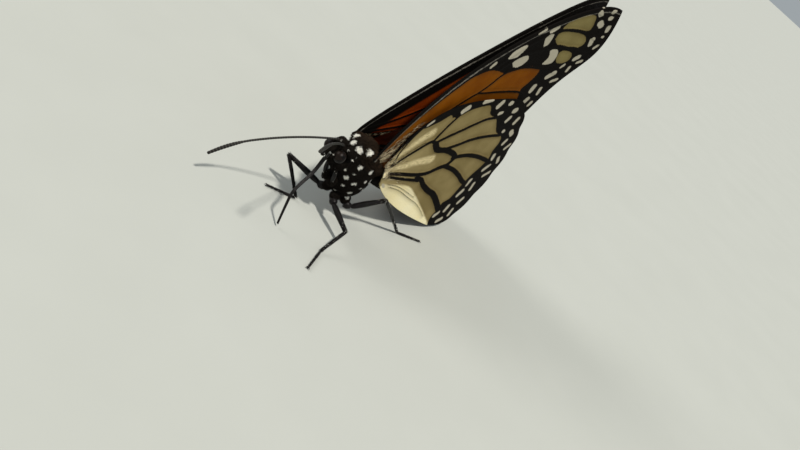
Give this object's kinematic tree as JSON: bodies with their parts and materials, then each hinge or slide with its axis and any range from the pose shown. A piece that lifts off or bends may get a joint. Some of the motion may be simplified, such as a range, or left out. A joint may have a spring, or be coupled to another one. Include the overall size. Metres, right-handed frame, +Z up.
{
  "type": "monarch butterfly model",
  "caption": "Life-size model of a standing orange and black butterfly with its wings held up over its back.",
  "frame": {"origin": "middle of the whole model's box at floor level, where the four walking feet rest", "axes": "+Z up, -Y the way the head faces, +X to the insect's left"},
  "size_m": [0.0231, 0.0614, 0.0505],
  "materials": {
    "body_fur": "short black fur with white dots",
    "cuticle": "black, faintly glossy, finely haired",
    "eye": "glossy black with fine facets",
    "forewing_scales": "orange scales with black veins and a black border with white dots",
    "hindwing_scales": "tan scales with black veins and a black border with white dots"
  },
  "bodies": {
    "root": {"head": "body_fur", "thorax": "body_fur", "abdomen": "body_fur", "eye_left": "eye", "eye_right": "eye", "palp_left": "body_fur", "palp_right": "body_fur", "proboscis": "cuticle", "antenna_left": "cuticle", "antenna_right": "cuticle", "forewing_left": "forewing_scales", "forewing_right": "forewing_scales", "hindwing_left": "hindwing_scales", "hindwing_right": "hindwing_scales", "foreleg_left": "cuticle", "foreleg_right": "cuticle", "middle_leg_left_femur": "cuticle", "middle_leg_left_tibia": "cuticle", "middle_leg_left_tarsus": "cuticle", "middle_leg_right_femur": "cuticle", "middle_leg_right_tibia": "cuticle", "middle_leg_right_tarsus": "cuticle", "hind_leg_left_femur": "cuticle", "hind_leg_left_tibia": "cuticle", "hind_leg_left_tarsus": "cuticle", "hind_leg_right_femur": "cuticle", "hind_leg_right_tibia": "cuticle", "hind_leg_right_tarsus": "cuticle"}
  },
  "joints": []
}
